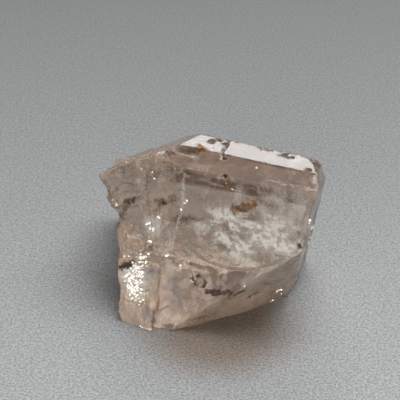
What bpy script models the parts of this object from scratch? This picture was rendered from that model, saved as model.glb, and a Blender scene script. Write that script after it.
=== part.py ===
"""A loose, pale brown topaz crystal with a broken left end, lying on its broken underside.

The prism's long axis runs from the back left to the front right, a little off the X axis.
Each crystal face is given as a bearing (degrees anticlockwise from +X, seen from above),
a tilt (degrees above the horizon) and its distance from the starting point in millimetres.
The crystal is one solid: blocks cleaved to their faces are joined, dished and chipped.
"""
import math
import random

import bmesh
import bpy
from mathutils import Matrix, Vector, noise

MM = 0.001

# Driving sizes, in millimetres and degrees
CRYSTAL_HEIGHT = 15.5
PRISM_BEARING = 249.0
ROUGH_STOCK = 60.0
MERGE = 0.002
SPLIT_LENGTH = 1.3
SPLIT_ROUNDS = 24
PLATE_STEP = 0.25
PLATE_RADIUS = 8.0
PLATE_BEVEL = 0.3
PLATE_SEGMENTS = 48
CHIP_SEED = 7

# Relief of the broken ends: how far a point moves, the two wave numbers per millimetre,
# the weight of the finer wave, and the way that each end is pushed
BROKEN_RELIEF = 0.42
END_RELIEF = 0.22
COARSE_WAVE = 0.42
FINE_WAVE = 0.95
FINE_WEIGHT = 0.55
COARSE_START = Vector((3.1, 7.7, 1.9))
FINE_START = Vector((9.2, 0.4, 5.3))
BROKEN_PUSH = (215.0, 10.0)
END_PUSH = (340.0, 0.0)
BROKEN_SPAN = (2.2, 5.4)
END_SPAN = (9.4, 10.8)
END_LEAN = 0.2
FLAT_BASE_SPAN = (0.1, 1.0)
ROUGH_ENOUGH = 0.02

# Faces of the prism, its ends and the broken front
TERRACE = (PRISM_BEARING, 90.0, CRYSTAL_HEIGHT)
UPPER_SLOPE = (PRISM_BEARING, 68.0, 13.81)
SLOPE_BEVEL = (PRISM_BEARING, 47.0, 11.22)
FRONT_PRISM = (PRISM_BEARING, 25.0, 6.87)
FRONT_PRISM_LOW = (PRISM_BEARING, 25.0, 6.87 - PLATE_STEP)
BROKEN_LEFT = (239.7, 24.7, 7.08)
FRONT_UNDERCUT = (293.1, -27.5, 4.27)
CORNER_UNDERCUT = (304.7, -29.3, 4.56)
LEFT_SHOULDER = (130.6, 53.2, 14.53)
LEFT_END = (181.0, -1.0, 8.10)
RIGHT_CORNER = (355.3, 13.8, 14.11)
CORNER_BEVEL = (10.0, 46.0, 18.05)
UPPER_CORNER = (24.6, 30.8, 16.26)
BACK_CORNER = (13.3, 18.0, 14.93)
RIGHT_END = (347.2, -9.9, 8.54)
RIGHT_UNDERCUT = (342.0, -20.4, 7.5)
BACK_SLOPE = (PRISM_BEARING - 180.0, 48.0, 14.12)
BACK_PRISM = (PRISM_BEARING - 180.0, 14.0, 10.23)
BACK_UNDERCUT = (PRISM_BEARING - 180.0, -4.0, 8.23)
REST_FACE = (0.0, -90.0, 0.0)

BODY_FACES = (
    TERRACE, UPPER_SLOPE, SLOPE_BEVEL, FRONT_PRISM_LOW, BROKEN_LEFT, FRONT_UNDERCUT,
    CORNER_UNDERCUT,
    LEFT_SHOULDER, LEFT_END, RIGHT_CORNER, CORNER_BEVEL, UPPER_CORNER, BACK_CORNER,
    RIGHT_END, RIGHT_UNDERCUT, BACK_SLOPE, BACK_PRISM, BACK_UNDERCUT, REST_FACE,
)

# The growth plate on the front prism face: its middle along and up that face
PLATE_ALONG = 3.9
PLATE_UP = 12.0
PLATE_DEPTH = 1.0
PLATE_FACES = (TERRACE, UPPER_SLOPE, SLOPE_BEVEL, BROKEN_LEFT, RIGHT_END, FRONT_UNDERCUT)

# The overhanging shoulder at the top left, and the foot at the bottom left
SHOULDER_FRONT = (239.7, 24.7, 7.33)
FOOT_FRONT = (239.7, 24.7, 7.58)
SHOULDER_FACES = (
    SHOULDER_FRONT, (130.6, 53.2, 14.68), (219.1, 51.6, 12.8), (166.2, -35.4, 1.85),
    (355.0, 4.0, -4.6), (69.0, 30.0, 9.9),
)
FOOT_FACES = (
    FOOT_FRONT, (181.0, -2.0, 8.20), (208.6, 80.0, 6.69), (349.7, -1.8, -3.82),
    (60.0, 0.0, -0.88), REST_FACE,
)

# Shell-shaped dishes broken out of a face: the face, the dish's middle along and up it,
# its ball's radii along, up and across the face, and how deep it cuts
DISHES = (
    (SHOULDER_FRONT, -6.9, 6.1, (2.6, 2.3, 2.6), 0.55),
    (BROKEN_LEFT, -4.6, 4.9, (2.4, 2.0, 2.4), 0.35),
    (BROKEN_LEFT, -3.2, 11.0, (2.2, 2.6, 3.4), 0.28),
    (SHOULDER_FRONT, -5.4, 9.3, (1.6, 1.9, 2.4), 0.25),
    (FOOT_FRONT, -3.9, 0.6, (1.9, 2.6, 2.4), 0.34),
    (LEFT_END, -3.4, 7.0, (2.8, 2.6, 3.0), 0.55),
    (LEFT_END, -6.2, 3.6, (3.2, 3.0, 3.6), 0.80),
    (RIGHT_END, -2.9, 11.4, (1.5, 1.9, 1.8), 0.35),
    (RIGHT_END, 2.6, 6.2, (2.6, 2.8, 3.0), 0.45),
    (UPPER_SLOPE, -2.2, 6.6, (2.1, 0.62, 0.9), 0.25),
    (BACK_PRISM, -5.2, 4.4, (3.2, 2.2, 3.0), 0.35),
    (BACK_UNDERCUT, 3.4, 4.4, (2.8, 2.4, 2.6), 0.50),
)
DISH_SEGMENTS = 24
DISH_RINGS = 14

# Small etch pits: the face, the pit's middle along and up it, and its radius
PITS = (
    (TERRACE, -0.50, 3.14, 0.36), (TERRACE, -0.08, 3.94, 0.30), (TERRACE, 6.85, 3.40, 0.34),
    (TERRACE, 7.62, 3.23, 0.26), (TERRACE, 9.74, 1.79, 0.34), (TERRACE, 0.85, 3.10, 0.28),
    (UPPER_SLOPE, -0.95, 7.07, 0.30), (UPPER_SLOPE, 1.60, 6.76, 0.26),
    (FRONT_PRISM, 2.29, 12.90, 0.30), (FRONT_PRISM, 6.12, 12.46, 0.24),
    (FRONT_PRISM_LOW, 1.32, 2.13, 0.50), (FRONT_PRISM_LOW, -1.28, 3.65, 0.36),
    (FOOT_FRONT, -1.59, -2.25, 0.24), (FOOT_FRONT, -5.17, 1.98, 0.55),
    (FRONT_UNDERCUT, 6.44, 9.00, 0.36), (BROKEN_LEFT, -2.99, 8.96, 0.45),
    (SHOULDER_FRONT, -6.72, 7.73, 0.50),
)
PIT_SEGMENTS = 9
PIT_RINGS = 6
PIT_RISE = 0.15

# Chips along the terrace's back edge and pits on it
CHIP_COUNT = 15
CHIP_SPAN = (-0.2, 9.8)
CHIP_SIZE = (0.28, 0.62)
CHIP_JITTER = 0.3
CHIP_OFFSET = (-0.1, 0.25)

# The finish: clear, faintly brown topaz
TOPAZ_COLOUR = (0.62, 0.50, 0.42, 1.0)
TOPAZ_IOR = 1.62
TOPAZ_ROUGHNESS = 0.12


def face_normal(bearing, tilt):
    """The outward direction of a crystal face."""
    turn = math.radians(bearing)
    rise = math.radians(tilt)
    return Vector((math.cos(turn) * math.cos(rise), math.sin(turn) * math.cos(rise), math.sin(rise)))


def cleave(bm, faces):
    """Cut a closed convex block along each face in turn and close the cut."""
    for bearing, tilt, reach in faces:
        normal = face_normal(bearing, tilt)
        everything = bm.verts[:] + bm.edges[:] + bm.faces[:]
        cut = bmesh.ops.bisect_plane(
            bm, geom=everything, dist=1e-7, plane_co=normal * reach * MM, plane_no=normal, clear_outer=True
        )
        rim = [item for item in cut["geom_cut"] if isinstance(item, bmesh.types.BMEdge)]
        if rim:
            bmesh.ops.contextual_create(bm, geom=rim)
    bmesh.ops.recalc_face_normals(bm, faces=bm.faces[:])


def new_object(name, bm, collection):
    """Put a bmesh in an object of its own."""
    mesh = bpy.data.meshes.new(name)
    bm.to_mesh(mesh)
    bm.free()
    item = bpy.data.objects.new(name, mesh)
    collection.objects.link(item)
    return item


def cleaved_block(name, faces, collection):
    """A block of rough stock cut down to the given faces."""
    bm = bmesh.new()
    bmesh.ops.create_cube(bm, size=ROUGH_STOCK * MM)
    cleave(bm, faces)
    return new_object(name, bm, collection)


def face_place(face, along, up, lift):
    """A frame on a face, in metres: X along the face, Y up it and Z outward."""
    normal = face_normal(face[0], face[1])
    across = face_normal(face[0] + 90.0, 0.0)
    rise = normal.cross(across)
    place = Matrix((across, rise, normal)).transposed().to_4x4()
    place.translation = (normal * (face[2] + lift) + across * along + rise * up) * MM
    return place


def growth_plate(collection):
    """The low round plate on the front prism face, trimmed to the faces around it."""
    bm = bmesh.new()
    bmesh.ops.create_cone(
        bm, cap_ends=True, segments=PLATE_SEGMENTS, radius1=(PLATE_RADIUS + PLATE_BEVEL) * MM,
        radius2=(PLATE_RADIUS - PLATE_BEVEL) * MM, depth=PLATE_DEPTH * MM,
        matrix=face_place(FRONT_PRISM, PLATE_ALONG, PLATE_UP, -PLATE_DEPTH / 2),
    )
    cleave(bm, PLATE_FACES)
    return new_object("growth_plate", bm, collection)


def ball_cutter(name, place, radii, segments, rings, collection):
    """A ball that leaves a dish or a pit where it cuts the surface."""
    bm = bmesh.new()
    bmesh.ops.create_uvsphere(
        bm, u_segments=segments, v_segments=rings, radius=MM, matrix=place @ Matrix.Diagonal((*radii, 1.0))
    )
    return new_object(name, bm, collection)


def chip_cutters(collection):
    """Small angular lumps along the terrace's back edge."""
    rng = random.Random(CHIP_SEED)
    along = face_normal(PRISM_BEARING + 90.0, 0.0)
    out = face_normal(BACK_SLOPE[0], 0.0)
    edge = face_normal(BACK_SLOPE[0], BACK_SLOPE[1])
    start = (BACK_SLOPE[2] - CRYSTAL_HEIGHT * edge.z) / math.cos(math.radians(BACK_SLOPE[1]))
    cutters = []
    for number in range(CHIP_COUNT):
        share = (number + rng.uniform(-CHIP_JITTER, CHIP_JITTER)) / (CHIP_COUNT - 1)
        step = CHIP_SPAN[0] + (CHIP_SPAN[1] - CHIP_SPAN[0]) * share
        size = rng.uniform(*CHIP_SIZE)
        middle = along * step + out * (start + rng.uniform(*CHIP_OFFSET))
        middle.z = CRYSTAL_HEIGHT
        place = Matrix.Translation(middle * MM) @ Matrix.Rotation(rng.uniform(0, math.pi), 4, "Z")
        place = place @ Matrix.Rotation(rng.uniform(0, math.pi), 4, "X")
        bm = bmesh.new()
        bmesh.ops.create_icosphere(bm, subdivisions=1, radius=size * MM, matrix=place)
        cutters.append(new_object(f"chip_{number}", bm, collection))
    return cutters


def clean(target):
    """Merge the points and flatten the slivers that a join or a cut leaves."""
    bm = bmesh.new()
    bm.from_mesh(target.data)
    bmesh.ops.remove_doubles(bm, verts=bm.verts[:], dist=MERGE * MM)
    bmesh.ops.dissolve_degenerate(bm, edges=bm.edges[:], dist=MERGE * MM)
    bmesh.ops.dissolve_limit(
        bm, angle_limit=math.radians(0.05), verts=bm.verts[:], edges=bm.edges[:], delimit={"NORMAL"}
    )
    bmesh.ops.triangulate(bm, faces=bm.faces[:])
    bm.to_mesh(target.data)
    bm.free()


def combine(target, other, operation):
    """Join another solid to the crystal, or cut it away, and keep the result."""
    modifier = target.modifiers.new(operation.lower(), "BOOLEAN")
    modifier.operation = operation
    modifier.solver = "EXACT"
    modifier.object = other
    bpy.context.view_layer.update()
    seen = target.evaluated_get(bpy.context.evaluated_depsgraph_get())
    mesh = bpy.data.meshes.new_from_object(seen)
    target.modifiers.clear()
    target.data = mesh


def smooth_step(low, high, value):
    """0 below low, 1 above high and an even curve between them."""
    share = min(max((value - low) / (high - low), 0.0), 1.0)
    return share * share * (3 - 2 * share)


def broken_share(point):
    """How much a point, in millimetres, belongs to the broken left end."""
    return smooth_step(*BROKEN_SPAN, -point.x) * smooth_step(*FLAT_BASE_SPAN, point.z)


def right_share(point):
    """How much a point, in millimetres, belongs to the weathered right end."""
    leaning = point.x + END_LEAN * (CRYSTAL_HEIGHT - point.z)
    return smooth_step(*END_SPAN, leaning) * smooth_step(*FLAT_BASE_SPAN, point.z)


def split_edge(bm, edge):
    """Split an edge of a triangle mesh at its middle, with the two triangles beside it."""
    corners = [(face, next(v for v in face.verts if v not in edge.verts)) for face in edge.link_faces]
    _, middle = bmesh.utils.edge_split(edge, edge.verts[0], 0.5)
    for face, corner in corners:
        bmesh.utils.face_split(face, middle, corner)


def split_rough_faces(bm):
    """Split the longest edges on the broken ends until none is longer than the limit."""
    for _ in range(SPLIT_ROUNDS):
        long_edges = []
        for edge in bm.edges:
            middle = (edge.verts[0].co + edge.verts[1].co) / (2 * MM)
            rough = max(broken_share(middle), right_share(middle)) > ROUGH_ENOUGH
            if rough and edge.calc_length() > SPLIT_LENGTH * MM:
                long_edges.append(edge)
        long_edges.sort(key=lambda edge: edge.calc_length(), reverse=True)
        touched = set()
        chosen = []
        for edge in long_edges:
            if touched.isdisjoint(edge.link_faces):
                touched.update(edge.link_faces)
                chosen.append(edge)
        for edge in chosen:
            split_edge(bm, edge)


def roughen(crystal):
    """Split the broken faces and push their points in and out by a smooth field."""
    bm = bmesh.new()
    bm.from_mesh(crystal.data)
    split_rough_faces(bm)
    left = face_normal(*BROKEN_PUSH)
    right = face_normal(*END_PUSH)
    for vert in bm.verts:
        point = vert.co / MM
        wave = noise.noise(point * COARSE_WAVE + COARSE_START)
        wave += FINE_WEIGHT * noise.noise(point * FINE_WAVE + FINE_START)
        push = left * (broken_share(point) * BROKEN_RELIEF) + right * (right_share(point) * END_RELIEF)
        vert.co += push * wave * MM
    bm.to_mesh(crystal.data)
    bm.free()


def centre_on_origin(crystal):
    """Put the origin under the middle of the crystal, on the plane that it rests on."""
    points = [vert.co for vert in crystal.data.vertices]
    middle_x = (min(p.x for p in points) + max(p.x for p in points)) / 2
    middle_y = (min(p.y for p in points) + max(p.y for p in points)) / 2
    floor = min(p.z for p in points)
    crystal.data.transform(Matrix.Translation((-middle_x, -middle_y, -floor)))
    print(f"moved by {-middle_x / MM:.4f} {-middle_y / MM:.4f} {-floor / MM:.4f} mm")


def topaz_material():
    """A see-through finish in the stone's own colour."""
    material = bpy.data.materials.new("topaz")
    material.use_nodes = True
    shader = material.node_tree.nodes["Principled BSDF"]
    shader.inputs["Base Color"].default_value = TOPAZ_COLOUR
    shader.inputs["Roughness"].default_value = TOPAZ_ROUGHNESS
    shader.inputs["Metallic"].default_value = 0.0
    shader.inputs["IOR"].default_value = TOPAZ_IOR
    shader.inputs["Transmission Weight"].default_value = 1.0
    return material


def make_crystal(parts, cutters):
    """The whole crystal, joined, dished, chipped and roughened."""
    crystal = cleaved_block("crystal", BODY_FACES, parts)
    combine(crystal, growth_plate(cutters), "UNION")
    combine(crystal, cleaved_block("shoulder", SHOULDER_FACES, cutters), "UNION")
    combine(crystal, cleaved_block("foot", FOOT_FACES, cutters), "UNION")
    for number, (face, along, up, radii, depth) in enumerate(DISHES):
        place = face_place(face, along, up, radii[2] - depth)
        dish = ball_cutter(f"dish_{number}", place, radii, DISH_SEGMENTS, DISH_RINGS, cutters)
        combine(crystal, dish, "DIFFERENCE")
    for number, (face, along, up, radius) in enumerate(PITS):
        place = face_place(face, along, up, radius * PIT_RISE)
        pit = ball_cutter(f"pit_{number}", place, [radius] * 3, PIT_SEGMENTS, PIT_RINGS, cutters)
        combine(crystal, pit, "DIFFERENCE")
    for chip in chip_cutters(cutters):
        combine(crystal, chip, "DIFFERENCE")
    clean(crystal)
    roughen(crystal)
    centre_on_origin(crystal)
    crystal.data.materials.clear()
    crystal.data.materials.append(topaz_material())
    return crystal


def main():
    for item in list(bpy.data.objects):
        bpy.data.objects.remove(item, do_unlink=True)
    parts = bpy.data.collections.new("topaz_crystal")
    cutters = bpy.data.collections.new("cutters")
    bpy.context.scene.collection.children.link(parts)
    bpy.context.scene.collection.children.link(cutters)
    crystal = make_crystal(parts, cutters)
    for item in cutters.objects:
        item.hide_render = True
        item.display_type = "WIRE"
    size = crystal.dimensions / MM
    print(f"crystal {size.x:.2f} x {size.y:.2f} x {size.z:.2f} mm, {len(crystal.data.polygons)} faces")


main()
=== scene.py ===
# %% [markdown]
# ## A stubby topaz crystal
# Topaz grows as a clear prism with a long axis, flat side faces and a perfect cleavage across it.
# This stone is short and broken at its left end, stained by rust in its pits, and clouded by healed
# cracks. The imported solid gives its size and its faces. The cells below give it its fine surface,
# its glass, its clouds and its stains.

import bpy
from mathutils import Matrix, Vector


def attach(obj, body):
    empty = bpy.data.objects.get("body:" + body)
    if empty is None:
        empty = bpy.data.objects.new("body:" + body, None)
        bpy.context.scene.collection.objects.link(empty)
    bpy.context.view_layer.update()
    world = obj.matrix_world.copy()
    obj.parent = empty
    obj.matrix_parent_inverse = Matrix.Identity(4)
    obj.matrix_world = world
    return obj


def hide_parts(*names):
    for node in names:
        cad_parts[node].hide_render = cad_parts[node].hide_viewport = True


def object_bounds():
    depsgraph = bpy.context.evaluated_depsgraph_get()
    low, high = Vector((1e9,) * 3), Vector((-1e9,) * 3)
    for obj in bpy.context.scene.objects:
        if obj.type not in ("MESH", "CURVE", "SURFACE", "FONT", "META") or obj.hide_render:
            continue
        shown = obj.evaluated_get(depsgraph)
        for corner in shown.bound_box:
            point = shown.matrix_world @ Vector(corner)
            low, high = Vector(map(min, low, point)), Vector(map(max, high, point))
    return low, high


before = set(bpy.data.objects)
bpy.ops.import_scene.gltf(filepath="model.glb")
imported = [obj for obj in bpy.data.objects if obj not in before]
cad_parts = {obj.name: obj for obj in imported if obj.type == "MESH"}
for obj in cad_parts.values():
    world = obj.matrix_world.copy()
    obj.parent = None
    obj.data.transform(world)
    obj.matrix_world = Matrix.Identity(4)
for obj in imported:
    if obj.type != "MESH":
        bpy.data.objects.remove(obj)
cad_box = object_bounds()
print("crystal box, mm:", [[round(v * 1000, 2) for v in corner] for corner in cad_box])

# %% [markdown]
# ### The crystal's own directions
# Every face is given by a bearing, a tilt and its distance from the point where the stone was laid out,
# just as a crystallographer lists faces. The two directions in a face, along the prism and up it, let
# the finishes below follow the crystal and not the room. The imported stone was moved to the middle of
# its base, so the same move is added to every place that is worked out from the faces.

# %% Faces
import math

import bmesh
import bpy
from mathutils import Matrix, Vector, noise
from mathutils.bvhtree import BVHTree
from mathutils.kdtree import KDTree

MM = 0.001
STONE_SHIFT = Vector((-0.7311, -2.9411, 0.0))
PRISM_BEARING = 249.0
TERRACE = (PRISM_BEARING, 90.0, 15.50)
UPPER_SLOPE = (PRISM_BEARING, 68.0, 13.81)
FRONT_PRISM = (PRISM_BEARING, 25.0, 6.87)


def face_normal(bearing, tilt):
    """The outward direction of a crystal face."""
    turn = math.radians(bearing)
    rise = math.radians(tilt)
    return Vector((math.cos(turn) * math.cos(rise), math.sin(turn) * math.cos(rise), math.sin(rise)))


def face_axes(face):
    """The directions out of a face, along it and up it."""
    normal = face_normal(face[0], face[1])
    along = face_normal(face[0] + 90.0, 0.0)
    return normal, along, normal.cross(along)


def face_point(face, along, up, out=0.0):
    """A place in metres, from millimetres along a face, up it and out of it."""
    normal, side, rise = face_axes(face)
    return (normal * (face[2] + out) + side * along + rise * up + STONE_SHIFT) * MM


def stone_point(place):
    """A place in metres as a point in the stone's own frame, in millimetres."""
    return place / MM - STONE_SHIFT


print("out of the front prism face:", [round(v, 3) for v in face_normal(*FRONT_PRISM[:2])])

# %% [markdown]
# ### The camera
# The stone was seen from about 35 degrees above the table through a long lens, so its edges stay
# parallel. A camera 300 mm away with a 275 mm lens shows a field 39.2 mm wide, which makes one pixel of
# the 400 pixel picture 0.098 mm. The point that it looks at was found by lining up the prism faces.

# %% Camera
PICTURE = 400
PIXEL = 0.098 * MM
CAMERA_RISE = math.radians(35.0)
CAMERA_DISTANCE = 300.0 * MM
LOOK_AT = (Vector((-0.489, 5.062, 7.22)) + STONE_SHIFT) * MM
SENSOR = 36.0
CLIP = (0.01, 20.0)

view_forward = Vector((0.0, math.cos(CAMERA_RISE), -math.sin(CAMERA_RISE)))
view_up = Vector((0.0, math.sin(CAMERA_RISE), math.cos(CAMERA_RISE)))
view_right = Vector((1.0, 0.0, 0.0))
camera_place = LOOK_AT - view_forward * CAMERA_DISTANCE


def new_object(name, data):
    """An object with this data, linked to the scene."""
    made = bpy.data.objects.new(name, data)
    bpy.context.scene.collection.objects.link(made)
    return made


camera_data = bpy.data.cameras.new("camera")
camera_data.sensor_width = SENSOR
camera_data.lens = SENSOR * CAMERA_DISTANCE / (PICTURE * PIXEL)
camera_data.clip_start, camera_data.clip_end = CLIP
camera = new_object("camera", camera_data)
camera.location = camera_place
camera.rotation_euler = (math.pi / 2 - CAMERA_RISE, 0.0, 0.0)
bpy.context.scene.camera = camera
print("lens, mm:", round(camera_data.lens, 1))


def picture_ray(u, v):
    """The direction in which the camera sees the picture's pixel u, v."""
    middle = PICTURE / 2
    across = view_right * ((u - middle) * PIXEL) - view_up * ((v - middle) * PIXEL)
    return (view_forward * CAMERA_DISTANCE + across).normalized()


# %% [markdown]
# ### The fine surface
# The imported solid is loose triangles, so a copy of it is merged first. Its long edges are then split
# until the triangles are small, which keeps the flat faces flat and the edges crisp, where a voxel
# remesh would round them. The triangles are smallest on the broken end, which needs the most shape.

# %% Split the solid into small triangles
MERGE_DISTANCE = 1e-7
SPLIT_ROUNDS = 40
TOP_EDGE = 0.15
BROKEN_EDGE = 0.21
FINE_EDGE = 0.33
COARSE_EDGE = 0.70
# the layer below the top is split most finely, and the hidden back, beyond BACK_START, the least
TOP_LAYER = 0.2
BACK_START = 4.0
BACK_HEIGHT = 12.0
# edges in this layer over the base stay as they are
BASE_LAYER = 0.02
# the break starts here, to the left of the middle, and its border wanders by this much
BROKEN_SPAN = (2.0, 5.2)
BROKEN_WANDER = 0.8
BROKEN_ENOUGH = 0.3


def smooth_step(low, high, value):
    """0 below low, 1 above high and an even curve between them."""
    share = min(max((value - low) / (high - low), 0.0), 1.0)
    return share * share * (3 - 2 * share)


def wave(point, size, start=(0.0, 0.0, 0.0)):
    """Noise about zero with features about 1/size wide, moved by the start."""
    return noise.noise(point * size + Vector(start))


def broken_share(point):
    """How much a point belongs to the broken left end."""
    return smooth_step(*BROKEN_SPAN, -point.x + BROKEN_WANDER * wave(point, 0.6))


def split_edge(bm, edge):
    """Split an edge of a triangle mesh at its middle, with the two triangles beside it."""
    corners = [(face, next(v for v in face.verts if v not in edge.verts)) for face in edge.link_faces]
    _, middle = bmesh.utils.edge_split(edge, edge.verts[0], 0.5)
    for face, corner in corners:
        bmesh.utils.face_split(face, middle, corner)


def edge_limit(place):
    """How long an edge may be at a place: short where the camera and the breaks are."""
    if place.z > (TERRACE[2] - TOP_LAYER) * MM:
        return TOP_EDGE * MM
    if place.y > BACK_START * MM and place.z < BACK_HEIGHT * MM:
        return COARSE_EDGE * MM
    if broken_share(stone_point(place)) > BROKEN_ENOUGH:
        return BROKEN_EDGE * MM
    return FINE_EDGE * MM


def split_long_edges(bm, rounds):
    """Split the longest edges first, never two of one triangle in the same round."""
    for _ in range(rounds):
        long_edges = []
        for edge in bm.edges:
            length = edge.calc_length()
            middle = (edge.verts[0].co + edge.verts[1].co) / 2
            if middle.z > BASE_LAYER * MM and length > edge_limit(middle):
                long_edges.append((length, edge))
        if not long_edges:
            break
        long_edges.sort(key=lambda pair: pair[0], reverse=True)
        touched = set()
        chosen = []
        for _, edge in long_edges:
            if touched.isdisjoint(edge.link_faces):
                touched.update(edge.link_faces)
                chosen.append(edge)
        for edge in chosen:
            split_edge(bm, edge)


stone = bmesh.new()
stone.from_mesh(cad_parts["crystal"].data)
bmesh.ops.remove_doubles(stone, verts=stone.verts[:], dist=MERGE_DISTANCE)
split_long_edges(stone, SPLIT_ROUNDS)
stone.normal_update()
crystal_tree = BVHTree.FromBMesh(stone)
print("triangles after splitting:", len(stone.faces))


# %% [markdown]
# ### Finding places on the stone
# Stains, ledges and patches are given by the pixels at which they are seen. A ray from the camera
# through the pixel finds the place on the stone.

# %% Places and paths
def on_crystal(u, v):
    """The place on the crystal, in metres, at pixel u, v, or the nearest one just past its outline."""
    ray = picture_ray(u, v)
    place = crystal_tree.ray_cast(camera_place, ray)[0]
    if place is None:
        place = crystal_tree.find_nearest(camera_place + ray * CAMERA_DISTANCE)[0]
    return place


def depth_inside(place):
    """How far a place lies inside the crystal, in millimetres, negative outside it."""
    nearest, normal, _, distance = crystal_tree.find_nearest(place)
    return distance / MM if (nearest - place).dot(normal) > 0.0 else -distance / MM


def path_on_crystal(pixels):
    """The places on the crystal under a path of the picture's pixels."""
    return [on_crystal(u, v) for u, v in pixels]


def away_from_run(place, start, end):
    """The step to a place from the nearest point of a straight run."""
    run = end - start
    share = min(max((place - start).dot(run) / run.length_squared, 0.0), 1.0)
    return place - start - run * share


def path_distance(place, path):
    """How far a place is from a path, in millimetres."""
    return min(away_from_run(place, start, end).length for start, end in zip(path, path[1:])) / MM


# %% [markdown]
# ### Worn edges
# Two long edges at the foot of the stone are worn round. The groove beside the broken end is filled a
# little first, and then the points near each edge are drawn to the middle of their neighbours, round
# after round.

# %% Soften two edges
SOFT_CORE = 0.2
SOFT_FLOOR = 0.01
# for each worn edge: its path in pixels, how far it is rounded in millimetres, how often, and by how
# much it is filled first
SOFT_EDGES = (
    (((157, 262), (157, 280), (155, 300), (154, 316), (154, 330)), 1.5, 50, 0.35),
    (((300, 262), (270, 281), (240, 301), (210, 314), (192, 324)), 2.1, 60, 0.0),
)


def soften(bm, path, reach, rounds, fill):
    """Fill and round off an edge of the stone along a path."""
    near = []
    for vert in bm.verts:
        away = path_distance(vert.co, path)
        if away < reach and vert.co.z > SOFT_FLOOR * MM:
            vert.co -= view_forward * (fill * (1.0 - smooth_step(SOFT_CORE * reach, reach, away)) * MM)
            near.append(vert)
    for _ in range(rounds):
        bmesh.ops.smooth_vert(bm, verts=near, factor=0.5, use_axis_x=True, use_axis_y=True, use_axis_z=True)


for pixels, *amounts in SOFT_EDGES:
    soften(stone, path_on_crystal(pixels), *amounts)
stone.normal_update()
print("worn edges:", len(SOFT_EDGES))

# %% [markdown]
# ### Where the edges are
# The chips sit on sharp edges, and the edges are also where a worn stone is frosted. Points are laid
# along every edge where two faces meet at a clear angle, and a search tree then tells how near the
# closest one is.

# %% Sharp edges
EDGE_ANGLE = math.radians(24.0)
EDGE_SPACING = 0.1
EDGE_REACH = 0.40


def sharp_edge_points(bm, spacing):
    """Points along the edges where two faces meet at a clear angle."""
    points = []
    for edge in bm.edges:
        if len(edge.link_faces) == 2 and edge.calc_face_angle(0.0) > EDGE_ANGLE:
            start, end = edge.verts[0].co, edge.verts[1].co
            steps = max(1, int((end - start).length / spacing))
            points.extend(start.lerp(end, step / steps) for step in range(steps + 1))
    return points


edge_points = sharp_edge_points(stone, EDGE_SPACING * MM)
edge_tree = KDTree(len(edge_points))
for number, point in enumerate(edge_points):
    edge_tree.insert(point, number)
edge_tree.balance()
print("points on sharp edges:", len(edge_points))


def edge_share(place):
    """1 on a sharp edge, 0 where none is near."""
    _, _, distance = edge_tree.find(place)
    return 1.0 - smooth_step(0.0, EDGE_REACH * MM, distance)


# %% [markdown]
# ### Ledges, a crack and pits
# A break doesn't run through a crystal evenly: it jumps from plane to plane and leaves ledges. Each
# ledge follows a short path on the skin, and the stone is lower on the right-hand side of the path, by
# less and less away from it. A crack is a groove along its path, and an etched pit in the top face is
# a short, wide one.

# %% Ledges, crack and pits
LEDGE_REACH = 1.1
# for each ledge: its path in pixels of the picture and its height in millimetres
LEDGES = {
    "mid_ledge": (((206, 268), (190, 263), (165, 257), (150, 251), (140, 251), (127, 255), (117, 259)), 0.12),
    "front_left": (((171, 250), (176, 228), (182, 208), (183, 190), (182, 175)), 0.05),
    "tip_facet": (((124, 160), (125, 170), (123, 180), (117, 188)), 0.15),
    "triangle_top": (((156, 240), (147, 230), (133, 227)), 0.14),
    "triangle_base": (((140, 243), (156, 240)), 0.10),
    "foot_block": (((141, 318), (140, 306), (130, 302)), 0.08),
    "upper_line": (((200, 171), (176, 166), (150, 162)), 0.06),
    "shoulder": (((150, 207), (140, 196), (130, 190), (122, 193)), 0.10),
}
CRACK = ((229, 141), (227, 146), (223, 150), (221, 157))
CRACK_WIDTH = 0.16
CRACK_DEPTH = 0.12
# for each pit in the top face: its path in pixels, its half width and its depth in millimetres
TOP_PITS = (
    (((208, 142), (212, 143)), 0.17, 0.08),
    (((217, 139), (220, 141)), 0.15, 0.09),
    (((243, 141), (247, 142)), 0.17, 0.10),
    (((252, 143), (255, 145)), 0.15, 0.10),
    (((275, 148), (283, 150)), 0.18, 0.13),
    (((280, 155), (287, 158)), 0.19, 0.11),
    (((290, 149), (300, 152)), 0.17, 0.13),
    (((304, 153), (307, 156)), 0.16, 0.11),
    (((305, 171), (308, 169), (311, 171)), 0.10, 0.08),
    (((262, 146), (266, 147)), 0.14, 0.09),
)


def picture_point(place):
    """The place's distance across and down the picture, in millimetres from its middle."""
    offset = place - camera_place
    scale = CAMERA_DISTANCE / offset.dot(view_forward) / MM
    return Vector((offset.dot(view_right) * scale, -offset.dot(view_up) * scale))


def ledge_drop(spot, path, height):
    """How far a ledge lowers a point of the picture: on its right-hand side only."""
    best, side = math.inf, 0.0
    for start, end in zip(path, path[1:]):
        away = away_from_run(spot, start, end)
        if away.length < best:
            best = away.length
            run = end - start
            side = run.x * away.y - run.y * away.x
    if side <= 0.0 or best > LEDGE_REACH:
        return 0.0
    return height * (1.0 - smooth_step(0.0, LEDGE_REACH, best))


def pixel_path(pixels):
    """A path of the picture's pixels in millimetres from its middle."""
    middle = PICTURE / 2
    return [Vector((u - middle, v - middle)) * PIXEL / MM for u, v in pixels]


def on_top(u, v):
    """The place on the plane of the top face that the picture shows at pixel u, v."""
    ray = picture_ray(u, v)
    return camera_place + ray * ((TERRACE[2] * MM - camera_place.z) / ray.z)


ledges = [(pixel_path(pixels), height) for pixels, height in LEDGES.values()]
crack = [on_top(u, v) for u, v in CRACK]
top_pits = [([on_top(u, v) for u, v in pixels], width, depth) for pixels, width, depth in TOP_PITS]
print("ledges:", len(ledges), "pits:", len(top_pits))
print("crack, mm:", round((crack[-1] - crack[0]).length / MM, 2))

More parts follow.
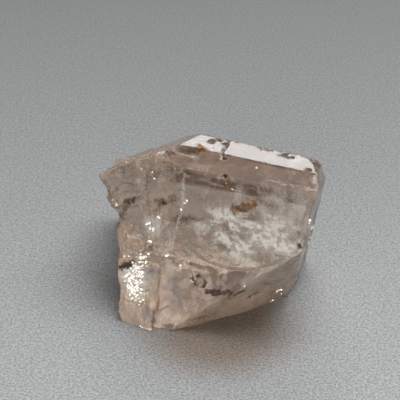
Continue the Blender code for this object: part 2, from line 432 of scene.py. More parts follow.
# %% [markdown]
# ### Breaks, hillocks and chips
# Broken topaz is a heap of small flat planes, each tilted its own way. A cell pattern gives each cell
# its own tilt, at two sizes. The prism faces only get low hillocks, and the edges small bites.

# %% The heights of the relief
HILLOCK = 0.016
LUMP = 0.08
CHIP_DEPTH = 0.06
BREAK_RELIEF = 0.04
# for each size of facet: cells to a millimetre, and how steeply they lean
FACETS = ((0.50, 0.30), (1.15, 0.26))
FACET_START = Vector((3.7, 1.1, 6.3))
TILT_SIZE = 3.7
TILT_STARTS = ((9.6, -0.9, -7.1), (0.3, 0.6, 0.9), (6.6, 0.8, -1.8))
# how far the rims of the crack and the pits wander, and the level share of a pit's width
RAGGED = 0.12
PIT_FLOOR = 0.55


def tilt_vector(spot):
    """A vector by chance that is the same in every run: one noise value for each axis."""
    return Vector([wave(spot, TILT_SIZE, start) for start in TILT_STARTS])


def facet_wave(point, size, lean):
    """The height of small flat planes, one to a cell, each with its own tilt."""
    spot = point * size + FACET_START
    middle = noise.voronoi(spot)[1][0]
    return lean * tilt_vector(middle).dot(spot - middle) / size


def break_wave(point):
    """The relief of a broken face in millimetres."""
    facets = sum(facet_wave(point, size, lean) for size, lean in FACETS)
    return facets + BREAK_RELIEF * wave(point, 1.7, (4.2, 1.7, 8.8))


def lump_wave(point):
    """The low lumps of the etched foot in millimetres."""
    return LUMP * (wave(point, 0.9, (1.5, 7.2, 2.8)) + 0.45 * wave(point, 2.1, (5.2, 0.7, 3.9)))


def chip_wave(point):
    """Where the edges are chipped: mostly nothing, here and there a bite."""
    return max(0.0, wave(point, 1.1, (2.5, 6.1, 3.3)) + 0.5 * wave(point, 2.9))


def top_drop(place, point):
    """How far the crack and the pits lower a point of the top face."""
    ragged = RAGGED * wave(point, 4.0)
    drop = CRACK_DEPTH * (1.0 - smooth_step(0.0, CRACK_WIDTH, path_distance(place, crack) + ragged))
    for path, width, depth in top_pits:
        away = path_distance(place, path) + ragged
        drop = max(drop, depth * (1.0 - smooth_step(PIT_FLOOR * width, width, away)))
    return drop


# %% [markdown]
# ### Pushing the points
# Every point moves along its normal by the relief of its place. Where the skin is seen edge-on, the
# relief of the break is held back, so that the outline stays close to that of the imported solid. The base
# stays flat, because the stone rests on it. The back and the underside are frosted, as broken stone is,
# so each point also keeps how broken, how near an edge and how frosted it is, for the finish.

# %% Push the points
OUTLINE_SPAN = (0.10, 0.55)
OUTLINE_HOLD = 0.30
FROST_SPAN = (-0.05, 0.25)
LOW_SPAN = (5.0, 7.5)
BASE_SPAN = (0.05, 0.5)
TOP_RELIEF = 0.3
CREASE_ANGLE = math.radians(26.0)
# the tip of the broken end stands out a little, at this pixel
TIP = (107, 167)
TIP_REACH = 1.7
TIP_HEIGHT = 0.42
TIP_LEAN = 0.3
TIP_WAY = view_up - TIP_LEAN * view_right


def shape_surface(bm):
    """Push every point by hillocks, breaks, ledges and chips, and return its shares."""
    tip = on_crystal(*TIP)
    shares = {"broken": [], "edge": [], "frost": []}
    moves = []
    for vert in bm.verts:
        point = stone_point(vert.co)
        rough = broken_share(point)
        edge = edge_share(vert.co)
        away = vert.normal.dot(view_forward)
        hold = OUTLINE_HOLD + (1.0 - OUTLINE_HOLD) * smooth_step(*OUTLINE_SPAN, abs(away))
        low = 1.0 - smooth_step(*LOW_SPAN, point.z)
        push = (1.0 - rough) * HILLOCK * wave(point, 0.7) - edge * CHIP_DEPTH * chip_wave(point)
        push += (1.0 - rough) * low * lump_wave(point)
        if rough > 0.0:
            push += rough * hold * break_wave(point)
        if away < 0.0:
            spot = picture_point(vert.co)
            drop = sum(ledge_drop(spot, path, height) for path, height in ledges)
            push -= drop * smooth_step(*OUTLINE_SPAN, -away)
        if point.z > TERRACE[2] - TOP_RELIEF:
            push -= top_drop(vert.co, point)
        move = vert.normal * (push * smooth_step(*BASE_SPAN, point.z) * MM)
        tip_share = 1.0 - smooth_step(0.0, TIP_REACH, (vert.co - tip).length / MM)
        moves.append(move + TIP_WAY * (tip_share * TIP_HEIGHT * MM))
        shares["broken"].append(rough)
        shares["edge"].append(edge)
        shares["frost"].append(smooth_step(*FROST_SPAN, away))
    for vert, move in zip(bm.verts, moves):
        vert.co += move
    return shares


def keep_in_box(bm, low, high):
    """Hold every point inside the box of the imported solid."""
    for vert in bm.verts:
        for axis in range(3):
            vert.co[axis] = min(max(vert.co[axis], low[axis]), high[axis])


shares = shape_surface(stone)
keep_in_box(stone, *cad_box)
crystal_mesh = bpy.data.meshes.new("topaz")
stone.to_mesh(crystal_mesh)
stone.free()
for name, values in shares.items():
    layer = crystal_mesh.attributes.new(name, "FLOAT", "POINT")
    layer.data.foreach_set("value", values)
crystal_mesh.shade_smooth()
crystal_mesh.set_sharp_from_angle(angle=CREASE_ANGLE)
crystal = new_object("topaz", crystal_mesh)
print("fine crystal:", len(crystal_mesh.polygons), "triangles")

# %% [markdown]
# ### Node trees in Python
# A node tree is easier to read as arithmetic. `Value` wraps one socket, and adding or multiplying two
# of them adds the Math node that does it. `Nodes.node` makes every other kind of node from its type,
# its settings and its inputs, in a shader tree and in a geometry tree alike.

# %% Sockets that take part in arithmetic
class Value:
    """A socket that takes part in Python maths."""

    def __init__(self, nodes, socket):
        self.nodes = nodes
        self.socket = socket

    def maths(self, operation, *operands):
        """A Math node on these operands, which may be numbers or other values."""
        return self.nodes.node("ShaderNodeMath", {"operation": operation}, list(operands))

    def __add__(self, other):
        return self.maths("ADD", self, other)

    __radd__ = __add__

    def __sub__(self, other):
        return self.maths("SUBTRACT", self, other)

    def __rsub__(self, other):
        return self.maths("SUBTRACT", other, self)

    def __mul__(self, other):
        return self.maths("MULTIPLY", self, other)

    __rmul__ = __mul__

    def __truediv__(self, other):
        return self.maths("DIVIDE", self, other)

    def __abs__(self):
        return self.maths("ABSOLUTE", self)

    def largest(self, other):
        """The larger of the two."""
        return self.maths("MAXIMUM", self, other)

    def step(self, low, high):
        """A smooth step from 0 at low to 1 at high."""
        settings = {"interpolation_type": "SMOOTHSTEP"}
        values = {"Value": self, "From Min": low, "From Max": high}
        return self.nodes.node("ShaderNodeMapRange", settings, values)


class Nodes:
    """A node tree that is filled from Python."""

    def __init__(self, tree):
        self.tree = tree

    def node(self, kind, settings=None, values=(), out=0):
        """Add a node: its settings first, then the values or links of its sockets."""
        made = self.tree.nodes.new(kind)
        for name, setting in (settings or {}).items():
            setattr(made, name, setting)
        pairs = values.items() if isinstance(values, dict) else enumerate(values)
        for key, value in pairs:
            if isinstance(value, Value):
                self.tree.links.new(value.socket, made.inputs[key])
            else:
                made.inputs[key].default_value = value
        return Value(self, made.outputs[out])


# %% [markdown]
# ### Finishes
# Every pattern below is measured in millimetres in the stone's own frame, so that the same numbers can
# be used for the shape and for the finish. A finish is closed by its surface shader and, for glass, by
# what fills it.

# %% A finish
# the shares of the reach within which a patch and a face keep their full value
PATCH_CORE = 0.35
FACE_CORE = 0.6


class Finish(Nodes):
    """One material and the patterns that it can use."""

    def __init__(self, name):
        self.material = bpy.data.materials.new(name)
        self.material.use_nodes = True
        super().__init__(self.material.node_tree)
        self.tree.nodes.clear()
        place = self.node("ShaderNodeTexCoord", out="Object")
        values = {"Vector": place, "Scale": 1 / MM}
        scaled = self.node("ShaderNodeVectorMath", {"operation": "SCALE"}, values)
        self.point = self.node("ShaderNodeVectorMath", {"operation": "SUBTRACT"}, [scaled, STONE_SHIFT])

    def moved(self, shift):
        """The point moved by a vector, to start a pattern elsewhere."""
        return self.node("ShaderNodeVectorMath", {"operation": "ADD"}, [self.point, shift])

    def cloud(self, size, detail=4.0, rough=0.55, shift=(0.0, 0.0, 0.0), distort=0.0, point=None):
        """Noise between 0 and 1 with features about 1/size millimetres wide."""
        values = {"Scale": size, "Detail": detail, "Roughness": rough, "Distortion": distort}
        values["Vector"] = point or self.moved(shift)
        return self.node("ShaderNodeTexNoise", None, values, out="Fac")

    def cells(self, size, point):
        """The distance to the middle of the nearest cell, and each cell's own chance."""
        values = {"Vector": point, "Scale": size}
        distance = self.node("ShaderNodeTexVoronoi", None, values, out="Distance")
        colour = self.node("ShaderNodeTexVoronoi", None, values, out="Color")
        return distance, self.node("ShaderNodeSeparateColor", None, [colour])

    def distance_along(self, direction):
        """How far a point lies along a direction of the stone, in millimetres."""
        values = [self.point, direction]
        return self.node("ShaderNodeVectorMath", {"operation": "DOT_PRODUCT"}, values, out="Value")

    def near(self, place, reach):
        """1 at a place, 0 further off than the reach in millimetres."""
        values = [self.point, stone_point(place)]
        distance = self.node("ShaderNodeVectorMath", {"operation": "DISTANCE"}, values, out="Value")
        return 1.0 - distance.step(PATCH_CORE * reach, reach)

    def on_face(self, face, reach):
        """1 on the plane of a face, 0 further off it than the reach in millimetres."""
        normal = face_normal(face[0], face[1])
        return 1.0 - abs(self.distance_along(normal) - face[2]).step(FACE_CORE * reach, reach)

    def attribute(self, name):
        """A share that the mesh carries."""
        return self.node("ShaderNodeAttribute", {"attribute_name": name}, out="Fac")

    def bump(self, height):
        """A normal from a height in millimetres."""
        return self.node("ShaderNodeBump", None, {"Height": height, "Distance": MM, "Strength": 1.0})

    def mix_colour(self, share, first, second):
        """Two colours mixed by a share."""
        return self.node("ShaderNodeMix", {"data_type": "RGBA"}, {0: share, 6: first, 7: second}, out=2)

    def principled(self, **values):
        """A Principled shader: the sockets' names with underscores for spaces."""
        named = {name.replace("_", " "): value for name, value in values.items()}
        return self.node("ShaderNodeBsdfPrincipled", None, named)

    def close(self, surface, volume=None):
        """Link the surface and the volume to the output and return the material."""
        end = self.tree.nodes.new("ShaderNodeOutputMaterial")
        self.tree.links.new(surface.socket, end.inputs["Surface"])
        if volume is not None:
            self.tree.links.new(volume.socket, end.inputs["Volume"])
        return self.material


# %% [markdown]
# ### Topaz
# Topaz is glass-clear with an index of refraction of 1.62. The pale brown comes from the depth of stone
# that the light crosses, so it is a volume absorption and not a surface colour. The stone isn't all
# clear: etching and breaking have frosted its skin, and fine healed cracks lie just under the front
# face. That milky part is an opaque shader, mixed over the glass by a share that changes over the stone.

# %% Topaz finish
TOPAZ_IOR = 1.62
ABSORPTION_COLOUR = (0.71, 0.45, 0.18, 1.0)
ABSORPTION_DENSITY = 62.0
CLOUD_MIDDLE = (6.0, 7.8)
CLOUD_RADII = (7.4, 3.3)
MILKY_BROWN = (0.70, 0.52, 0.40, 1.0)
MILKY_VIOLET = (0.36, 0.31, 0.30, 1.0)
MILKY_GREY = (0.96, 0.90, 0.80, 1.0)
CLEAR = (1.0, 1.0, 1.0, 1.0)
FROSTED = 0.26
MILKY_ROUGHNESS = 0.45
# the milkier patches: the pixel of the middle and the reach in millimetres
SPARK_PATCH, SPARK_REACH = (137, 280), 2.5
PALE_PATCH, PALE_REACH = (152, 226), 1.5
# the next two are a painted glow: paler milk at the foot and the lower right that stands in for light coming
# through the stone
PAINTED_GLOW_FOOT, PAINTED_GLOW_FOOT_REACH = (130, 318), 1.8
PAINTED_GLOW_PATCH, PAINTED_GLOW_REACH = (245, 306), 4.6
# how far off the plane of a face its finish goes, in millimetres
FRONT_REACH = 0.55
TOP_REACH = 0.10
BAND_REACH = 0.3


def topaz_finish():
    """Clear brown stone, milky in clouds and frosted where it is broken."""
    topaz = Finish("topaz")
    _, side, rise = face_axes(FRONT_PRISM)
    along, up = topaz.distance_along(side), topaz.distance_along(rise)
    broken, edge, frost = (topaz.attribute(name) for name in ("broken", "edge", "frost"))
    front = topaz.on_face(FRONT_PRISM, FRONT_REACH) * (1.0 - broken)
    top = topaz.on_face(TERRACE, TOP_REACH)
    low = 1.0 - topaz.distance_along((0.0, 0.0, 1.0)).step(*LOW_SPAN)

    # the white cloud in the front face: an ellipse filled with layered wisps and specks
    across = (along - CLOUD_MIDDLE[0]) / CLOUD_RADII[0]
    above = (up - CLOUD_MIDDLE[1]) / CLOUD_RADII[1]
    window = 1.0 - (across * across + above * above).step(0.2, 1.1)
    layered = topaz.node("ShaderNodeCombineXYZ", None, [along * 0.30, up * 0.62, 0.0])
    wisps = topaz.cloud(1.0, 6.0, 0.64, distort=0.4, point=layered).step(0.38, 0.56)
    speck = topaz.cloud(2.0, 4.0, 0.6, shift=(3.0, 6.0, 4.0)).step(0.38, 0.58)
    cloud = window * front * wisps * (0.40 + 0.60 * speck)
    patches = topaz.cloud(0.55, 4.0, shift=(5.0, 2.0, 9.0)).step(0.40, 0.64)
    band = topaz.on_face(UPPER_SLOPE, BAND_REACH)
    level = topaz.node("ShaderNodeVectorMath", {"operation": "MULTIPLY"}, [topaz.point, (1.3, 1.3, 5.0)])
    ridges = topaz.cloud(1.0, 5.0, 0.7, point=level)
    spark = topaz.near(on_crystal(*SPARK_PATCH), SPARK_REACH) * ridges.step(0.34, 0.50)
    pale = topaz.near(on_crystal(*PALE_PATCH), PALE_REACH)
    # painted glow: milkier, paler stone at the foot and the lower right, for light that comes through the
    # stone
    foot = topaz.near(on_crystal(*PAINTED_GLOW_FOOT), PAINTED_GLOW_FOOT_REACH)
    foot = foot.largest(topaz.near(on_crystal(*PAINTED_GLOW_PATCH), PAINTED_GLOW_REACH))

    # relief too fine for the mesh: grain everywhere, rings and stripes in the front face
    distance, chance = topaz.cells(0.75, topaz.moved((2.0, 4.0, 1.0)))
    ring = (distance - 0.30 - 0.25 * chance).step(-0.03, 0.03)
    striped = topaz.node("ShaderNodeCombineXYZ", None, [along * 0.12, up * 2.6, 0.0])
    stripes = topaz.cloud(1.0, 3.0, point=striped)
    grain = topaz.cloud(3.2, 6.0)
    fine = topaz.cloud(12.0, 3.0)
    height = (0.0015 + 0.005 * broken + 0.003 * low) * grain + 0.0005 * fine + 0.06 * spark * ridges
    height = height + front * (0.010 * stripes + 0.030 * ring * chance.step(0.55, 0.6))

    # how dull the glass is, and how much of it is milky
    roughness = 0.07 + broken * (0.04 + 0.22 * patches) * (1.0 - spark) + edge * 0.10 + cloud * 0.15
    roughness = roughness + FROSTED * frost
    milk = 0.06 + 0.06 * wisps + 0.85 * cloud + broken * (0.18 + 0.22 * patches) + 0.30 * pale + 0.10 * edge
    # the painted glow adds milk at the foot and the lower right
    milk = milk + low * (0.12 + 0.24 * patches) + 0.14 * band + 0.40 * foot + 0.60 * spark
    milk = milk * (1.0 - 0.75 * top) * (1.0 - 0.8 * frost)
    normal = topaz.bump(height)
    glass = topaz.principled(
        Base_Color=CLEAR, Roughness=roughness, IOR=TOPAZ_IOR,
        Transmission_Weight=1.0, Normal=normal,
    )
    tint = topaz.cloud(0.35, 4.0, shift=(8.0, 3.0, 1.0)).step(0.45, 0.62)
    # the painted glow keeps the paler brown milk there, without the violet
    tinted = topaz.mix_colour(tint * (0.4 + 0.6 * low) * (1.0 - foot), MILKY_BROWN, MILKY_VIOLET)
    milky = topaz.principled(
        Base_Color=topaz.mix_colour((cloud * 1.4).largest(pale).largest(spark), tinted, MILKY_GREY),
        Roughness=MILKY_ROUGHNESS, IOR=TOPAZ_IOR, Normal=normal,
    )
    surface = topaz.node("ShaderNodeMixShader", None, [milk, glass, milky])
    filling = {"Color": ABSORPTION_COLOUR, "Density": ABSORPTION_DENSITY}
    return topaz.close(surface, topaz.node("ShaderNodeVolumeAbsorption", None, filling))


crystal_mesh.materials.append(topaz_finish())
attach(crystal, "root")
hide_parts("crystal")

# %% [markdown]
# ### Healed cracks
# A crack that healed as the crystal grew is a curved sheet of tiny hollows, which looks like a white
# veil. Each veil is a thin grid laid behind a face, bent and warped, and cut off before it reaches the
# skin. Its cover fades to nothing at its rim, and the finish breaks it into wisps.

# %% Veils
VEIL_STEP = 0.24
VEIL_MARGIN = (0.12, 0.7)
VEIL_WARP = 0.35
VEIL_RIM = 0.6
VEIL_WHITE = (0.86, 0.84, 0.80, 1.0)
# along, up and behind the front prism face; width, height; lean, turn in degrees; bend
VEILS = (
    (6.2, 8.3, 1.1, 13.0, 5.6, 0.10, 4.0, 0.9),
    (3.0, 9.2, 2.2, 8.0, 5.0, -0.25, -20.0, 1.1),
    (9.2, 10.6, 1.6, 6.0, 4.2, 0.30, 25.0, 0.7),
    (5.5, 6.6, 3.6, 11.0, 6.0, 0.45, -6.0, 1.4),
    (-2.0, 6.0, 1.6, 4.6, 5.6, 0.10, 60.0, 0.8),
    (7.0, 11.5, 5.0, 10.0, 6.5, 0.35, 12.0, 1.6),
    (-3.6, 1.6, 1.4, 3.6, 4.2, 0.20, 15.0, 0.6),
)


def veil_grid(bm, number, along, up, depth, width, height, lean, turn, bend):
    """Add one bent sheet behind the front face, with its cover."""
    layer = bm.verts.layers.float["cover"]
    spin = Matrix.Rotation(math.radians(turn), 2)
    columns = int(width / VEIL_STEP)
    rows = int(height / VEIL_STEP)
    grid = {}
    for column in range(columns + 1):
        for row in range(rows + 1):
            across = 2 * column / columns - 1
            above = 2 * row / rows - 1
            radial = across * across + above * above
            if radial > 1.0:
                continue
            offset = spin @ Vector((across * width / 2, above * height / 2))
            warp = VEIL_WARP * noise.noise(Vector((offset.x * 0.5, offset.y * 0.5, number * 7.1)))
            behind = depth + lean * offset.y + bend * radial * 0.5 + warp
            place = face_point(FRONT_PRISM, along + offset.x, up + offset.y, -behind)
            inside = smooth_step(*VEIL_MARGIN, depth_inside(place))
            if inside > 0.0:
                vert = bm.verts.new(place)
                vert[layer] = inside * smooth_step(0.0, VEIL_RIM, 1.0 - radial)
                grid[column, row] = vert
    for column, row in list(grid):
        corners = [(column, row), (column + 1, row), (column + 1, row + 1), (column, row + 1)]
        if all(corner in grid for corner in corners):
            bm.faces.new([grid[corner] for corner in corners])


veil_bm = bmesh.new()
veil_bm.verts.layers.float.new("cover")
for number, veil in enumerate(VEILS):
    veil_grid(veil_bm, number, *veil)
loose = [vert for vert in veil_bm.verts if not vert.link_faces]
bmesh.ops.delete(veil_bm, geom=loose, context="VERTS")
veil_mesh = bpy.data.meshes.new("healed_cracks")
veil_bm.to_mesh(veil_mesh)
veil_bm.free()
veil_mesh.shade_smooth()
print("healed cracks:", len(veil_mesh.polygons), "faces")


def veil_finish():
    """White wisps with clear stone between them."""
    veil = Finish("healed_crack")
    cover = veil.attribute("cover")
    wisps = veil.cloud(0.75, 7.0, 0.66, distort=0.8).step(0.40, 0.64)
    fine = veil.cloud(4.5, 4.0, 0.6).step(0.38, 0.62)
    alpha = cover * wisps * (0.20 + 0.65 * fine)
    white = veil.principled(Base_Color=VEIL_WHITE, Roughness=0.6, Alpha=alpha)
    return veil.close(white)


veil_mesh.materials.append(veil_finish())
healed = new_object("healed_cracks", veil_mesh)
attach(healed, "root")

# %% [markdown]
# ### Rust stains
# Iron oxide has settled in the pits and along the cracks: an orange-brown crust, dark streaks and a few
# black specks. Each stain follows a short path on the skin. The triangles near the path are copied and
# lifted by a hundredth of a millimetre, and each point keeps how deep it lies in the stain, so that the
# finish can give it a ragged rim. Every next stain is lifted a little more, so that two stains that
# overlap don't lie in the same place.

# %% Patches of the skin
FILM_LIFT = 0.010
FILM_GAP = 0.001
FILM_RIM = 0.45
PATH_STEP = 0.15
# triangles that turn further from the camera than this get no film
FILM_FACING = 0.2

skin_tree = KDTree(len(crystal_mesh.vertices))
for vert in crystal_mesh.vertices:
    skin_tree.insert(vert.co, vert.index)
skin_tree.balance()
triangles_at = [[] for _ in crystal_mesh.vertices]
for polygon in crystal_mesh.polygons:
    for index in polygon.vertices:
        triangles_at[index].append(polygon.index)


def patch_covers(path, width):
    """The skin's points near a path, each with its cover: 1 on the path, 0 at the half width."""
    reach = (width * (1 + FILM_RIM) + FINE_EDGE) * MM
    covers = {}
    for start, end in zip(path, path[1:]):
        steps = max(1, int((end - start).length / (PATH_STEP * MM)))
        for step in range(steps + 1):
            for place, index, _ in skin_tree.find_range(start.lerp(end, step / steps), reach):
                if index not in covers:
                    covers[index] = 1.0 - path_distance(place, path) / width
    return covers


def skin_patches(name, rows, shares):
    """One mesh of lifted copies of the skin along paths, with the shares that each row gives."""
    film = bmesh.new()
    layers = {share: film.verts.layers.float.new(share) for share in ("cover", *shares)}
    for order, (pixels, width, *values) in enumerate(rows):
        covers = patch_covers(path_on_crystal(pixels), width)
        lift = (FILM_LIFT + FILM_GAP * order) * MM
        made = {}
        for number in sorted({number for index in covers for number in triangles_at[index]}):
            polygon = crystal_mesh.polygons[number]
            corners = polygon.vertices
            facing = polygon.normal.dot(view_forward) < FILM_FACING
            if facing and all(index in covers for index in corners):
                for index in corners:
                    if index not in made:
                        source = crystal_mesh.vertices[index]
                        vert = film.verts.new(source.co + source.normal * lift)
                        vert[layers["cover"]] = covers[index]
                        for share, value in zip(shares, values):
                            vert[layers[share]] = value
                        made[index] = vert
                film.faces.new([made[index] for index in corners])
    mesh = bpy.data.meshes.new(name)
    film.to_mesh(mesh)
    film.free()
    mesh.shade_smooth()
    return new_object(name, mesh)


# %% [markdown]
# ### The stains
# Each stain has its place, its width, its shade and how much of the stone it hides. The finish adds
# noise to the cover, which makes the rim ragged, and mottles the colour.

# %% Stain films
RUST_ORANGE = (0.52, 0.28, 0.10, 1.0)
RUST_BROWN = (0.16, 0.07, 0.028, 1.0)
RUST_DARK = (0.12, 0.065, 0.035, 1.0)
RUST_BLACK = (0.025, 0.016, 0.011, 1.0)
RIM_NOISE = 4.2
# for each stain: its path in pixels of the picture, its half width in millimetres, its shade, from 0
# for orange rust to 1 for black, and how much of the stone it hides
STAINS = {
    "rust_clump": (((235, 210), (241, 209), (248, 206), (254, 203)), 0.50, 0.30, 0.95),
    "rust_clump_core": (((237, 211), (243, 209)), 0.24, 0.65, 0.95),
    "dark_streak": (((206, 292), (213, 293), (228, 293), (244, 291)), 0.34, 0.58, 0.95),
    "streak_tail": (((247, 298), (256, 293)), 0.30, 0.40, 0.45),
    "ring": (((192, 279), (199, 276), (206, 283), (202, 287), (195, 284)), 0.22, 0.70, 0.80),
    "corner_stain": (((134, 200), (127, 202)), 0.36, 0.70, 0.80),
    "corner_run": (((125, 206), (123, 214), (120, 224)), 0.40, 0.50, 0.50),
    "ledge_patch": (((122, 267), (128, 265), (133, 262)), 0.40, 0.85, 0.75),
    "edge_rust": (((199, 146), (202, 149), (205, 153)), 0.50, 0.25, 0.85),
    "crack_speck_high": (((224, 158), (225, 160)), 0.26, 0.95, 0.95),
    "crack_speck_low": (((224, 175), (226, 176)), 0.20, 0.95, 0.95),
    "band_specks": (((221, 182), (228, 184), (233, 187)), 0.32, 0.45, 0.70),
    # hollow_shade is a faint dark film that darkens the hollow in the upper slope
    "hollow_shade": (((168, 154), (180, 151), (194, 151)), 0.50, 0.60, 0.35),
    "spot_left": (((163, 202), (165, 203)), 0.26, 0.85, 0.85),
    "spot_left_halo": (((158, 203), (166, 201), (174, 199)), 0.50, 0.50, 0.40),
    "spot_right": (((299, 244), (300, 247)), 0.26, 0.55, 0.80),
    "spot_foot": (((149, 318), (151, 318)), 0.18, 0.95, 0.95),
    "base_line": (((154, 322), (163, 325), (173, 325)), 0.18, 0.55, 0.60),
    "spot_mid": (((190, 264), (192, 265)), 0.18, 0.90, 0.90),
}


films = skin_patches("rust_films", STAINS.values(), ("shade", "hide"))
print("rust films:", len(films.data.polygons), "triangles")


def rust_finish(name, ragged):
    """Iron oxide: orange where thin, black where thick, with a ragged rim if asked."""
    rust = Finish(name)
    cover, shade = rust.attribute("cover"), rust.attribute("shade")
    mottle = rust.cloud(2.6, 6.0, 0.72)
    spots = rust.cloud(7.0, 3.0, 0.6, shift=(3.0, 1.0, 2.0)).step(0.40, 0.60)
    light = rust.mix_colour(mottle.step(0.42, 0.58), RUST_ORANGE, RUST_BROWN)
    dark = rust.mix_colour(mottle.step(0.40, 0.60), RUST_DARK, RUST_BLACK)
    colour = rust.mix_colour((shade + 0.35 * (spots - 0.5)).step(0.25, 0.75), light, dark)
    normal = rust.bump(0.05 * mottle)
    values = {"Base_Color": colour, "Roughness": 0.55, "Normal": normal}
    if ragged:
        values["Alpha"] = (cover + RIM_NOISE * (mottle - 0.51)).step(0.05, 0.55) * rust.attribute("hide")
    return rust.close(rust.principled(**values))


films.data.materials.append(rust_finish("rust_film", True))

# %% [markdown]
# ### Rust grains
# The thick parts of the crust are lumpy. A Geometry Nodes tree scatters small balls over the films,
# more of them where the cover is deep, and turns and sizes each by chance. The balls are made real,
# because only real meshes are kept with the part.

# %% Scatter grains on the films
GRAIN_SIZE = (0.035, 0.11)
GRAIN_DENSITY = 16.0
GRAIN_SEED = 5


def new_group(name, inputs):
    """A geometry tree with these inputs, and the identifier of each."""
    tree = bpy.data.node_groups.new(name, "GeometryNodeTree")
    tree.interface.new_socket(name="Geometry", in_out="INPUT", socket_type="NodeSocketGeometry")
    tree.interface.new_socket(name="Geometry", in_out="OUTPUT", socket_type="NodeSocketGeometry")
    keys = {}
    for label, kind in inputs.items():
        keys[label] = tree.interface.new_socket(name=label, in_out="INPUT", socket_type=kind).identifier
    return Nodes(tree), keys


def scatter_group(name, material, seed_shape, tilt, proportions, facing=(0.0, 0.0, 0.0)):
    """Scatter copies of a small shape by the mesh's cover, sized and turned by chance, then by facing."""
    inputs = {"Density": "NodeSocketFloat", "Smallest": "NodeSocketFloat", "Largest": "NodeSocketFloat"}
    inputs["Seed"] = "NodeSocketInt"
    nodes, keys = new_group(name, inputs)
    source = nodes.tree.nodes.new("NodeGroupInput")
    given = {socket.name: Value(nodes, socket) for socket in source.outputs if socket.name}
    cover = nodes.node("GeometryNodeInputNamedAttribute", {"data_type": "FLOAT"}, {"Name": "cover"})
    thick = cover.step(0.1, 0.9)
    points = nodes.node(
        "GeometryNodeDistributePointsOnFaces", None,
        {"Mesh": given["Geometry"], "Density": given["Density"] * thick, "Seed": given["Seed"]},
    )
    shape = nodes.node(*seed_shape)
    turn = nodes.node(
        "FunctionNodeRandomValue", {"data_type": "FLOAT_VECTOR"},
        {"Min": (-tilt, -tilt, -math.pi), "Max": (tilt, tilt, math.pi), "Seed": given["Seed"]},
    )
    settings = {"rotation_space": "GLOBAL"}
    turn = nodes.node("FunctionNodeRotateRotation", settings, {"Rotation": turn, "Rotate By": facing})
    size = nodes.node(
        "FunctionNodeRandomValue", {"data_type": "FLOAT"},
        {2: given["Smallest"], 3: given["Largest"], "Seed": given["Seed"]}, out=1,
    )
    squash = nodes.node("ShaderNodeCombineXYZ", None, [size * share for share in proportions])
    placed = nodes.node(
        "GeometryNodeInstanceOnPoints", None,
        {"Points": points, "Instance": shape, "Rotation": turn, "Scale": squash},
    )
    real = nodes.node("GeometryNodeRealizeInstances", None, [placed])
    finished = nodes.node("GeometryNodeSetMaterial", None, {"Geometry": real, "Material": material})
    end = nodes.tree.nodes.new("NodeGroupOutput")
    nodes.tree.links.new(finished.socket, end.inputs["Geometry"])
    return nodes.tree, keys


def run_group(source, name, group, density, sizes, seed):
    """The mesh that a scatter tree makes from an object, as a new object."""
    tree, keys = group
    modifier = source.modifiers.new(name, "NODES")
    modifier.node_group = tree
    modifier[keys["Density"]] = density / MM ** 2
    modifier[keys["Smallest"]] = sizes[0] * MM
    modifier[keys["Largest"]] = sizes[1] * MM
    modifier[keys["Seed"]] = seed
    seen = source.evaluated_get(bpy.context.evaluated_depsgraph_get())
    mesh = bpy.data.meshes.new_from_object(seen)
    source.modifiers.remove(modifier)
    return new_object(name, mesh)


BALL = ("GeometryNodeMeshIcoSphere", None, {"Radius": 1.0, "Subdivisions": 1})
grain_group = scatter_group("rust_grains", rust_finish("rust_grain", False), BALL, math.pi, (1.0, 0.8, 0.55))
grains = run_group(films, "rust_grains", grain_group, GRAIN_DENSITY, GRAIN_SIZE, GRAIN_SEED)
print("rust grains:", len(grains.data.polygons), "triangles")
for piece in (films, grains):
    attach(piece, "root")

# %% [markdown]
# ### Glints
# Wherever the skin is broken, tiny steps stand out that all face nearly one way, and all of them mirror
# the same light at once. Each glint is a small patch of the skin with a few thin flakes, which a second
# Geometry Nodes tree of the same kind scatters with little tilt. The patch itself isn't kept.

# %% Flakes that mirror the light
FLAKE_SIZE = (0.03, 0.10)
FLAKE_DENSITY = 26.0
FLAKE_TILT = 0.17
FLAKE_FACING = (263.0, 26.0)
FLAKE_SEED = 11
FLAKE_COLOUR = (0.85, 0.78, 0.68, 1.0)
FLAKE_ROUGHNESS = 0.28
GLINT_WIDTH = 0.20
# the places of single glints in the picture, and the wider patches with their half width
GLINTS = (
    (154, 173), (155, 178), (153, 176), (141, 169), (127, 163), (157, 154), (187, 202), (182, 209),
    (158, 218), (153, 216), (153, 234), (152, 241), (182, 265), (186, 264), (189, 280), (271, 302),
    (274, 300), (268, 303), (281, 289), (283, 293), (278, 290), (232, 187), (224, 186), (258, 168),
    (312, 227), (309, 221), (310, 240), (116, 205), (113, 201), (166, 256), (161, 250), (242, 287),
)
GLINT_PATCHES = (
    (((142, 261), (138, 270), (135, 282), (138, 296)), 1.35),
    (((131, 276), (134, 290)), 1.0),
    (((123, 255), (128, 256), (134, 253)), 0.24),
    (((148, 224), (152, 230)), 0.40),
    (((138, 326), (146, 329)), 0.20),
)


def flake_finish():
    """A clean step of the break, drawn as metal so that it mirrors the light."""
    step = Finish("cleavage_step")
    return step.close(step.principled(Base_Color=FLAKE_COLOUR, Metallic=1.0, Roughness=FLAKE_ROUGHNESS))


rows = [(((u - 1, v), (u + 1, v)), GLINT_WIDTH) for u, v in GLINTS]
patches = skin_patches("glint_patches", rows + list(GLINT_PATCHES), ())
PLATE = ("GeometryNodeMeshCircle", {"fill_type": "NGON"}, {"Vertices": 6, "Radius": 1.0})
facing = tuple(face_normal(*FLAKE_FACING).to_track_quat("Z", "Y").to_euler())
flake_group = scatter_group("cleavage_steps", flake_finish(), PLATE, FLAKE_TILT, (1.5, 0.8, 1.0), facing)
flakes = run_group(patches, "cleavage_steps", flake_group, FLAKE_DENSITY, FLAKE_SIZE, FLAKE_SEED)
bpy.data.objects.remove(patches)
print("cleavage steps:", len(flakes.data.polygons), "flakes")
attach(flakes, "root")
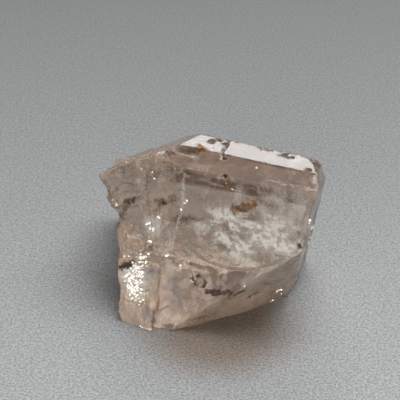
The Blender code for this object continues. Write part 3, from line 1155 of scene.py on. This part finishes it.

# %% [markdown]
# ### The table and the light
# The stone lies on a grey card with painted shade that darkens it evenly to the back, and a painted brown
# shadow in front of the stone, for light that the stone tints. A softbox behind the stone is mirrored in the
# top face, which turns it white. The key softbox stands high up, to the right and behind, and a third one low
# in front is what the flakes mirror.

# %% Table, world and lights
TABLE_SIZE = 1.5
TABLE_DROP = 0.02
WORLD_GREY = 0.035
WORLD_COLOUR = (0.97, 0.98, 1.0, 1.0)
BLACK = (0.0, 0.0, 0.0, 1.0)
CARD_GREY = (0.97, 0.99, 1.0, 1.0)
PAINTED_SHADOW_BROWN = (0.66, 0.54, 0.45, 1.0)
# painted shade: the card darkens evenly to the back, measured from CARD_START in front over CARD_LENGTH
CARD_START = 25.0
CARD_LENGTH = 70.0
# a painted brown shadow on the card in front of the stone, for light that the stone tints: its middle in
# metres and its reach in millimetres
PAINTED_SHADOW_SPOT = Vector((0.5, -9.5, 0.0)) * MM
PAINTED_SHADOW_REACH = 9.5
LAMP_AIM = 8.0 * MM
# for each softbox: bearing and rise in degrees; distance, width and height in metres; radiance
SOFTBOXES = {
    "back_softbox": (90.0, 35.0, 0.6, 0.26, 0.18, 6.5),
    "key_softbox": (35.0, 68.0, 0.35, 0.26, 0.26, 5.7),
    "front_softbox": (257.0, 16.0, 0.30, 0.24, 0.18, 2.4),
}


def table_finish():
    """Matt grey card with a grain, with painted shade that darkens it to the back and a painted brown shadow
    in front of the stone.
    """
    card = Finish("card")
    back = (card.distance_along((0.0, 1.0, 0.0)) + CARD_START) / CARD_LENGTH
    grain = card.cloud(4.4, 3.0, 0.7).step(0.25, 0.75) - 0.5
    # painted shade: the card's colour darkens evenly to the back, and its grain is fainter there
    shade = (0.45 - 0.20 * back) * (1.0 + (1.0 - 0.6 * back) * grain)
    plain = card.mix_colour(shade, BLACK, CARD_GREY)
    brown = card.mix_colour(shade, BLACK, PAINTED_SHADOW_BROWN)
    # painted shadow: the card turns darker and browner near the spot in front of the stone, standing in for
    # light tinted by the stone
    tint = card.near(PAINTED_SHADOW_SPOT, PAINTED_SHADOW_REACH)
    return card.close(card.principled(Base_Color=card.mix_colour(tint, plain, brown), Roughness=0.8))


table_mesh = bpy.data.meshes.new("table")
sheet = bmesh.new()
bmesh.ops.create_grid(sheet, x_segments=2, y_segments=2, size=TABLE_SIZE / 2)
sheet.to_mesh(table_mesh)
sheet.free()
table_mesh.transform(Matrix.Translation((0.0, 0.0, -TABLE_DROP * MM)))
table_mesh.materials.append(table_finish())
table = new_object("table", table_mesh)

world = bpy.data.worlds.new("studio")
world.use_nodes = True
sky = world.node_tree.nodes["Background"].inputs
sky["Color"].default_value = WORLD_COLOUR
sky["Strength"].default_value = WORLD_GREY
bpy.context.scene.world = world


def softbox(name, bearing, rise, distance, width, height, radiance):
    """A rectangular light that faces the stone from a bearing and a rise above the table."""
    data = bpy.data.lights.new(name, "AREA")
    data.shape = "RECTANGLE"
    data.size = width
    data.size_y = height
    data.energy = radiance * math.pi * width * height
    lamp = new_object(name, data)
    out = face_normal(bearing, rise)
    lamp.location = out * distance + Vector((0.0, 0.0, LAMP_AIM))
    lamp.rotation_euler = out.to_track_quat("Z", "Y").to_euler()


for name, row in SOFTBOXES.items():
    softbox(name, *row)
bpy.context.scene.view_settings.view_transform = "Standard"
